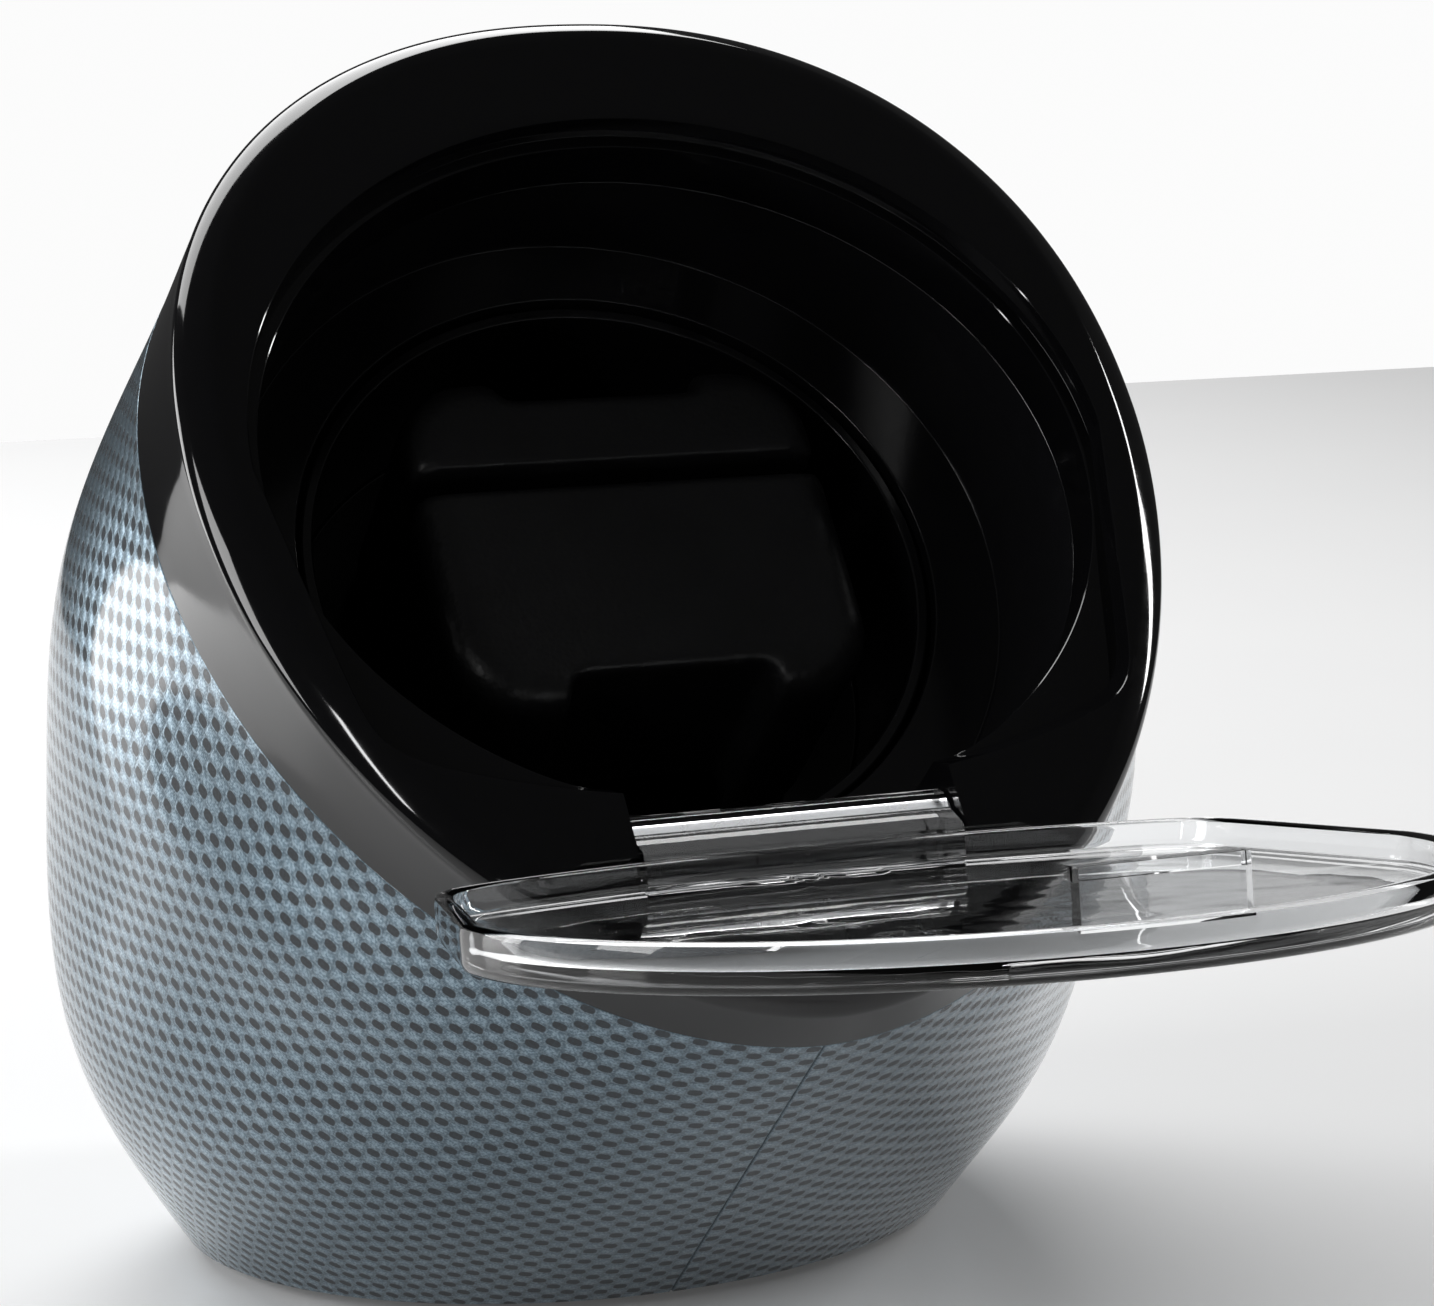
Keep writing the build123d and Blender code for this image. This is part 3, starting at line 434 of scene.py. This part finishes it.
def plain(name, colour, roughness, metallic=0.0, bump=0.00002):
    """Moulded or plated finish: one colour with a fine grain in its tone, gloss and surface."""
    graph = Graph(name)
    grain = graph.noise(graph.out("TexCoord", output=3), GRAIN_SCALE, 3.0)
    low = tuple(c * (1 - GRAIN_SPREAD) for c in colour) + (1,)
    high = tuple(min(1, c * (1 + GRAIN_SPREAD)) for c in colour) + (1,)
    shader = graph.node("BsdfPrincipled", None, {
        "Base Color": graph.mix(grain, low, high),
        "Roughness": roughness + grain * 0.06,
        "Metallic": metallic,
        "Normal": graph.bump(grain, bump, 0.3)})
    return graph.surface(shader)


gloss_black = plain("gloss_black", (0.003, 0.003, 0.0035), 0.03, bump=0.0)
MOUTH_CENTRE = -0.0042
MOUTH_HALF = np.array([0.0508, 0.0472])
LEDGE = 0.0017
SIDE_FOOT_HALF = 0.046
SIDE_FOOT_DROP = 0.039
SILL_LEAN = 0.0022
SILL_RADIUS = 0.113
SILL_CENTRE = 0.0642
FACE_HEIGHT = 0.0035
LIP_DEPTH = 0.007
# Half-width, reach up and reach down of the flat face and of the body behind it.
FACE_SIZES = (0.0553, 0.0585, 0.075)
BODY_SIZES = (0.0595, 0.062, CHIN_DROP)
SHOULDER_ROUND = 0.0909
COLLAR_BACK = 0.0064
ROUND = 0.00045
HINGE_DROP = 0.053
HINGE_DEPTH = 0.0015
LID_OPEN = math.radians(123.0)


def in_ring(points):
    """World place of points drawn with x right, y up the mouth and z out along its axis."""
    up = np.array([0.0, math.sin(RING_TILT), math.cos(RING_TILT)])
    out = np.array([0.0, -math.cos(RING_TILT), math.sin(RING_TILT)])
    points = np.asarray(points, float)
    return (RING_CENTRE + points[..., :1] * np.array([1.0, 0.0, 0.0])
            + points[..., 1:2] * up + points[..., 2:] * out)


def opened(points):
    """Points of the closed lid, in ring coordinates, swung about the hinge to the open pose."""
    points = np.array(points, float)
    y = points[..., 1] + HINGE_DROP
    z = points[..., 2] + HINGE_DEPTH
    points[..., 1] = y * math.cos(LID_OPEN) - z * math.sin(LID_OPEN) - HINGE_DROP
    points[..., 2] = y * math.sin(LID_OPEN) + z * math.cos(LID_OPEN) - HINGE_DEPTH
    return points


def soft_min(first, second, sharpness):
    """-log(exp(-k a) + exp(-k b)) / k: the smaller of two radii, rounded where they cross."""
    low = np.minimum(first, second)
    return low - np.log1p(np.exp(-sharpness * np.abs(first - second))) / sharpness


def oval_radius(angle, half):
    return 1 / np.sqrt((np.sin(angle) / half[0]) ** 2 + (np.cos(angle) / half[1]) ** 2)


def sill_radius(angle, radius):
    """Distance from the mouth's centre to the sill's arc in a direction from straight up."""
    drop = (SILL_CENTRE - MOUTH_CENTRE) * np.cos(angle)
    return drop + np.sqrt(drop ** 2 + radius ** 2 - (SILL_CENTRE - MOUTH_CENTRE) ** 2)


def side_radius(angle):
    """The widened oval above the centre and two straight sides leaning inwards below it."""
    half = MOUTH_HALF + LEDGE
    lean = (half[0] - SIDE_FOOT_HALF) / (MOUTH_CENTRE + SIDE_FOOT_DROP)
    skirt = half[0] / np.maximum(np.abs(np.sin(angle)) - lean * np.cos(angle), 1e-3)
    return np.where(np.cos(angle) > 0, oval_radius(angle, half), np.abs(skirt))


def lid_radius(angle, gap=0.0, sill_grow=0.0):
    return soft_min(side_radius(angle), sill_radius(angle, SILL_RADIUS + sill_grow), 450.0) - gap


def mouth_radius(angle):
    return soft_min(oval_radius(angle, MOUTH_HALF), sill_radius(angle, SILL_RADIUS), 3000.0)


def polar(angle, radius, height):
    """Ring of points about the mouth's centre."""
    radius, height = np.broadcast_arrays(radius, height)
    return np.stack([radius * np.sin(angle), MOUTH_CENTRE + radius * np.cos(angle),
                     height + 0 * angle], -1)


def face_outline(turn, blend, height):
    """Collar's outline: superellipse eased from the flat face (blend 0) to the body (blend 1)."""
    sizes = [(1 - blend) * face + blend * body for face, body in zip(FACE_SIZES, BODY_SIZES)]
    upper = np.cos(turn) >= 0
    power = np.where(upper, TOP_POWER, CHIN_POWER)
    reach = np.where(upper, sizes[1], sizes[2])
    return np.stack([sizes[0] * signed_power(np.sin(turn), 2 / power),
                     reach * signed_power(np.cos(turn), 2 / power), height + 0 * turn], -1)


def collar_rows():
    """Closed loop of rings: body edge, shoulder, face, recess wall, ledge, lip, back, body edge."""
    turn = np.linspace(0, 2 * math.pi, 720, endpoint=False)
    outer = face_outline(turn, 0.0, FACE_HEIGHT)
    angle = np.arctan2(outer[:, 0], outer[:, 1] - MOUTH_CENTRE)
    rows = [housing_skin(np.full(turn.shape, share), turn)
            for share in np.linspace(COLLAR_SHARE, 0.0, 8)]
    for step in np.linspace(0, 1, 12)[1:-1]:
        blend = 1 + SHOULDER_ROUND * step - (1 + SHOULDER_ROUND) * step ** 2
        rows.append(in_ring(face_outline(turn, blend, FACE_HEIGHT * step)))
    face_in = lid_radius(angle, 0.0, SILL_LEAN)
    ledge_out = lid_radius(angle)
    lip = np.minimum(mouth_radius(angle), ledge_out - 0.00006)
    inner = [(face_in + ROUND, FACE_HEIGHT), (face_in + 0.3 * ROUND, FACE_HEIGHT - 0.08 * ROUND),
             (face_in + 0.05 * ROUND, FACE_HEIGHT - 0.3 * ROUND),
             (face_in, FACE_HEIGHT - ROUND), (ledge_out + 0.00002, 0.0001),
             (ledge_out - 0.00002, 0.0)]
    for out, down in ((ROUND, 0), (0.3 * ROUND, 0.08 * ROUND), (0.05 * ROUND, 0.3 * ROUND)):
        inner.append((np.minimum(lip + out, ledge_out - 0.00003), -down))
    inner += [(lip, -ROUND), (lip, -LIP_DEPTH)]
    middle = in_ring(outer)
    rows.append(middle)
    edge = in_ring(polar(angle, *inner[0]))
    for share in (0.12, 0.5, 0.88):
        rows.append(middle * (1 - share) + edge * share)
    rows += [in_ring(polar(angle, radius, height)) for radius, height in inner]
    reach = np.linalg.norm(rows[7][:, 1:] - np.array([PIVOT_Y, PAD_THICK]), axis=1)
    back_share = np.arcsin(COLLAR_BACK / reach) / FAN_FULL
    rows.append(housing_skin(back_share, turn, WALL))
    rows.append(housing_skin(np.full(turn.shape, COLLAR_SHARE), turn, WALL))
    return np.stack(rows)


def closed_grid(points):
    """Faces of a grid that joins up both ways."""
    rows, columns = points.shape[:2]
    faces = grid_faces(rows + 1, columns, True)
    return np.where(faces >= rows * columns, faces - rows * columns, faces)


def prism_points(outline, low, high):
    """Closed block: an outline of (y, z) pairs carried along x from low to high."""
    outline = np.asarray(outline, float)
    count = len(outline)
    ends = [np.concatenate([np.full((count, 1), x), outline], 1) for x in (low, high)]
    side = [[i, (i + 1) % count, count + (i + 1) % count, count + i] for i in range(count)]
    caps = [list(range(count))[::-1], list(range(count, 2 * count))]
    return np.concatenate(ends), side + caps


def drum_points(angle, radii, heights):
    """Closed disc: rings about the mouth's centre, with a point in the middle of each face."""
    rings = [polar(angle, radius, height) for radius, height in zip(radii, heights)]
    count = len(angle)
    middle = [[0, MOUTH_CENTRE, heights[0]], [0, MOUTH_CENTRE, heights[-1]]]
    points = np.concatenate(rings + [np.array(middle)])
    faces = grid_faces(len(rings), count, True).tolist()
    first, last = len(points) - 2, len(points) - 1
    base = (len(rings) - 1) * count
    faces += [[first, (i + 1) % count, i] for i in range(count)]
    faces += [[last, base + i, base + (i + 1) % count] for i in range(count)]
    return points, faces


def outward(made):
    """Recalculates the normals of a closed shape so that its faces point outwards."""
    work = bmesh.new()
    work.from_mesh(made.data)
    bmesh.ops.remove_doubles(work, verts=work.verts, dist=1e-7)
    bmesh.ops.recalc_face_normals(work, faces=work.faces)
    work.to_mesh(made.data)
    work.free()


def apply_modifiers(made):
    """Gives the object the mesh that its modifiers make, and removes them."""
    shaped = bpy.data.meshes.new_from_object(made.evaluated_get(
        bpy.context.evaluated_depsgraph_get()))
    made.modifiers.clear()
    made.data = shaped


def combine(made, tool, operation):
    """Cuts or joins a closed shape with another, which is then removed."""
    outward(tool)
    change = made.modifiers.new("combine", "BOOLEAN")
    change.operation = operation
    change.object = tool
    change.solver = "EXACT"
    apply_modifiers(made)
    bpy.data.objects.remove(tool)


collar_points = collar_rows()
collar = add_mesh("gloss_collar", collar_points, closed_grid(collar_points), gloss_black)
outward(collar)
NOTCH_HALF = 0.0194
LID_ROOM = 0.0005
notch, notch_faces = prism_points(
    [(-0.0623, 0.02), (-0.0623, -0.0015), (-0.0615, -0.0053), (-0.0445, -0.0053),
     (-0.0437, -0.0015), (-0.0437, 0.02)], -NOTCH_HALF, NOTCH_HALF)
combine(collar, add_mesh("notch", in_ring(notch), notch_faces, gloss_black), "DIFFERENCE")
lid_angle = np.linspace(0, 2 * math.pi, 240, endpoint=False)
room = lid_radius(lid_angle, -LID_ROOM)
room_points, room_faces = drum_points(lid_angle, [room, room], [-0.0004, 0.0055])
combine(collar, add_mesh("lid_room", in_ring(opened(room_points)), room_faces, gloss_black),
        "DIFFERENCE")
collar.data.shade_smooth()
collar.data.set_sharp_from_angle(angle=math.radians(32))
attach(collar, "housing")
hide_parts("front_collar")

# ---------------------------------------------------------------- clear lid
# A shallow tray cast in clear acrylic: a thin plate with a deep polished rim, a hinge tab with a
# knuckle bored for the pin, and a small catch block at the far end.
LID_GAP = 0.0005
KNUCKLE_RADIUS = 0.0028
BORE_RADIUS = 0.00155
BORE_HALF = 0.021
TAB_HALF = 0.019
CATCH_HALF = 0.0085


def lid_disc():
    """Rings from the middle of the outer face round the polished rim to the inner face."""
    edge = lid_radius(lid_angle, LID_GAP)
    profile = [(0.35, None, 5.0), (0.7, None, 5.0), (None, 1.6, 5.0), (None, 0.7, 4.86),
               (None, 0.2, 4.45), (None, 0.0, 3.8), (None, 0.0, 0.9), (None, 0.12, 0.4),
               (None, 0.5, 0.14), (None, 1.1, 0.1), (None, 1.7, 0.16), (None, 2.1, 0.45),
               (None, 2.2, 0.9), (None, 2.25, 2.2), (None, 2.6, 2.8), (None, 3.4, 3.0),
               (0.7, None, 3.0), (0.35, None, 3.0)]
    radii = [edge * share if inset is None else edge - inset * 0.001
             for share, inset, _ in profile]
    return drum_points(lid_angle, radii, [height * 0.001 for _, _, height in profile])


lid_points, lid_faces = lid_disc()
acrylic_graph = Graph("clear_acrylic")
flow = acrylic_graph.noise(acrylic_graph.out("TexCoord", output=3), 55.0, 2.0)
acrylic = acrylic_graph.surface(acrylic_graph.node("BsdfPrincipled", None, {
    "Base Color": acrylic_graph.mix(flow, (0.965, 0.98, 0.99, 1), (0.99, 0.995, 1.0, 1)),
    "Roughness": 0.0, "IOR": 1.49, "Transmission Weight": 1.0,
    "Normal": acrylic_graph.bump(flow, 0.0002, 0.25)}))
lid = add_mesh("lid_tray", in_ring(opened(lid_points)), lid_faces, acrylic)
outward(lid)
arc = np.linspace(math.radians(-20), math.radians(-180), 14)
tab = [(-HINGE_DROP + KNUCKLE_RADIUS * math.cos(a), -HINGE_DEPTH + KNUCKLE_RADIUS * math.sin(a))
       for a in arc]
tab += [(-0.0555, 0.0009), (-0.0548, 0.0024), (-0.0540, 0.0034), (-0.0532, 0.0046),
        (-0.0526, 0.0050), (-0.0461, 0.0050), (-0.0461, -0.0004), (-0.0466, -0.0010)]
tab_points, tab_faces = prism_points(tab, -TAB_HALF, TAB_HALF)
tab_block = add_mesh("lid_tab", in_ring(opened(tab_points)), tab_faces, acrylic)
combine(lid, tab_block, "UNION")
top = MOUTH_CENTRE + MOUTH_HALF[1]
for low, high, near, far in ((-0.005, 0.001, top - 0.0028, top - 0.001),
                             (-0.005, -0.0036, top - 0.0041, top - 0.0024)):
    block, block_faces = prism_points([(near, low), (far, low), (far, high), (near, high)],
                                      -CATCH_HALF, CATCH_HALF)
    combine(lid, add_mesh("catch", in_ring(opened(block)), block_faces, acrylic), "UNION")
turn = np.linspace(0, 2 * math.pi, 32, endpoint=False)
bore_outline = np.stack([-HINGE_DROP + BORE_RADIUS * np.cos(turn),
                         -HINGE_DEPTH + BORE_RADIUS * np.sin(turn)], -1)
bore, bore_faces = prism_points(bore_outline, -BORE_HALF, BORE_HALF)
combine(lid, add_mesh("bore", in_ring(opened(bore)), bore_faces, acrylic), "DIFFERENCE")
lid.data.shade_smooth()
lid.data.set_sharp_from_angle(angle=math.radians(35))
soften = lid.modifiers.new("soft_edges", "BEVEL")
soften.width = 0.0003
soften.segments = 2
soften.limit_method = "ANGLE"
soften.angle_limit = math.radians(50)
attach(lid, "lid")
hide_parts("lid")

# ---------------------------------------------------------------- well, cup and mouldings
# The funnel behind the mouth, the cup that turns at its foot and the panel at the back are
# moulded in black ABS. Every moulded edge has a small radius, which catches a thin line of light.
well_black = plain("well_black", (0.007, 0.007, 0.008), 0.13, bump=0.000004)
black_plastic = plain("black_plastic", (0.02, 0.02, 0.021), 0.5)


def frame_copy(name, node, material, flatten=None):
    """Merged copy of a frame part; flatten, in degrees, makes its flat faces whole again."""
    made = bpy.data.objects.new(name, frame["nodes"][node].data.copy())
    made.data.materials.clear()
    made.data.materials.append(material)
    bpy.context.scene.collection.objects.link(made)
    work = bmesh.new()
    work.from_mesh(made.data)
    bmesh.ops.remove_doubles(work, verts=work.verts, dist=2e-6)
    if flatten:
        bmesh.ops.dissolve_limit(work, angle_limit=math.radians(flatten), verts=work.verts,
                                 edges=work.edges)
    work.to_mesh(made.data)
    work.free()
    return made


def moulded(name, node, material, body, radius):
    """Copy of a frame part whose edges are rounded."""
    made = frame_copy(name, node, material, 0.6)
    made.data.shade_smooth()
    made.data.set_sharp_from_angle(angle=math.radians(32))
    soften = made.modifiers.new("edges", "BEVEL")
    soften.width = radius
    soften.segments = 2
    soften.limit_method = "ANGLE"
    soften.angle_limit = math.radians(40)
    soften.harden_normals = True
    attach(made, body)
    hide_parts(node)
    return made


moulded("well_funnel", "well_liner", well_black, "housing", 0.0005)
moulded("turning_cup", "cup", well_black, "turntable", 0.0004)
moulded("rear_panel", "control_panel", black_plastic, "housing", 0.0004)

# ---------------------------------------------------------------- watch holder
# A foam block wrapped in soft black leatherette, in two parts: the upper one slides on two pins
# so that the holder springs open inside a bracelet. A channel for the bracelet runs round it.
CELL = 0.0008
RELAX_ROUNDS = 14
leather_graph = Graph("leatherette")
leather_place = leather_graph.out("TexCoord", output=3)
pebble = leather_graph.out("TexVoronoi", {"feature": "SMOOTH_F1"},
                           {"Vector": leather_place, "Scale": 1500.0, "Smoothness": 0.6})
crease = leather_graph.noise(leather_place, 160.0, 4.0)
leather = leather_graph.surface(leather_graph.node("BsdfPrincipled", None, {
    "Base Color": leather_graph.mix(crease, (0.006, 0.006, 0.007, 1), (0.014, 0.014, 0.015, 1)),
    "Roughness": 0.30 + pebble * 0.18,
    "Normal": leather_graph.bump(pebble * 0.6 + crease * 0.4, 0.00012, 0.5)}))


def cushion(name, node, body):
    """The block remeshed at under a millimetre and relaxed until its edges are soft."""
    made = frame_copy(name, node, leather)
    cells = made.modifiers.new("cells", "REMESH")
    cells.mode = "VOXEL"
    cells.voxel_size = CELL
    relax = made.modifiers.new("relax", "SMOOTH")
    relax.iterations = RELAX_ROUNDS
    relax.factor = 0.5
    apply_modifiers(made)
    made.data.shade_smooth()
    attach(made, body)
    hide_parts(node)


cushion("holder_cushion", "holder_body", "holder")
cushion("jaw_cushion", "holder_jaw", "jaw")

# ---------------------------------------------------------------- jaw springs
# Two coils of thin music wire, slipped over the guide pins.
steel = plain("steel", (0.6, 0.6, 0.61), 0.25, 1.0)
COIL_RADIUS = 0.0023
WIRE_RADIUS = 0.00033
COIL_PITCH = 0.0016
COIL_LOW = 0.0071
COIL_LENGTH = 0.0068
COIL_APART = 0.019
COIL_DEPTH = -0.038


def coil_points(x, length):
    """Tube of circular section carried along a helix about the guide pin, capped at its ends."""
    along = np.linspace(0, 1, 181)[:, None]
    around = np.linspace(0, 2 * math.pi, 10, endpoint=False)[None, :]
    turn = along * (length - 2 * WIRE_RADIUS) / COIL_PITCH * 2 * math.pi
    reach = COIL_RADIUS + WIRE_RADIUS * np.cos(around)
    rise = COIL_LOW + WIRE_RADIUS + along * (length - 2 * WIRE_RADIUS)
    points = np.stack([x + reach * np.cos(turn), rise + WIRE_RADIUS * np.sin(around),
                       COIL_DEPTH + reach * np.sin(turn)], -1)
    rows, columns = points.shape[:2]
    faces = grid_faces(rows, columns, True).tolist()
    faces += [list(range(columns)), list(range(rows * columns - 1, (rows - 1) * columns - 1, -1))]
    return points.reshape(-1, 3), faces


first, first_faces = coil_points(-COIL_APART, COIL_LENGTH)
second, second_faces = coil_points(COIL_APART, COIL_LENGTH)
both = np.concatenate([first, second])
springs = add_mesh("spring_coils", in_ring(both), first_faces + [
    [index + len(first) for index in face] for face in second_faces], steel)
outward(springs)
springs.data.shade_smooth()
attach(springs, "holder")
tuple(in_ring(np.array([0.0, COIL_LOW, COIL_DEPTH])))
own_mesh(springs)
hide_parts("jaw_springs")

# ---------------------------------------------------------------- hardware and drive
# Zinc-plated screws, pins and plate, a sintered bush, nylon gears, the small motor, the circuit
# board and the controls at the back, each in its own stock finish.
zinc = plain("zinc", (0.55, 0.56, 0.57), 0.38, 1.0)
bronze = plain("bronze", (0.6, 0.4, 0.2), 0.4, 1.0)
nylon = plain("nylon", (0.85, 0.84, 0.78), 0.45)
rubber = plain("rubber", (0.015, 0.015, 0.015), 0.85)
grey = plain("knob_grey", (0.12, 0.12, 0.125), 0.5)
board = plain("board_green", (0.02, 0.14, 0.06), 0.35)
lens = plain("led_lens", (0.5, 0.8, 0.95), 0.2)
finishes = {"gloss_black": gloss_black, "well_black": well_black, "steel": steel,
            "zinc_plate": zinc, "bronze": bronze, "nylon": nylon,
            "black_plastic": black_plastic, "pad_rubber": rubber, "leatherette": leather,
            "knob_grey": grey, "board_green": board, "led_lens": lens, "clear": acrylic}
for entry in frame["record"]["subparts"]:
    node = frame["nodes"][entry["node"]]
    if entry["material_slot"] in finishes:
        node.data.materials.clear()
        node.data.materials.append(finishes[entry["material_slot"]])
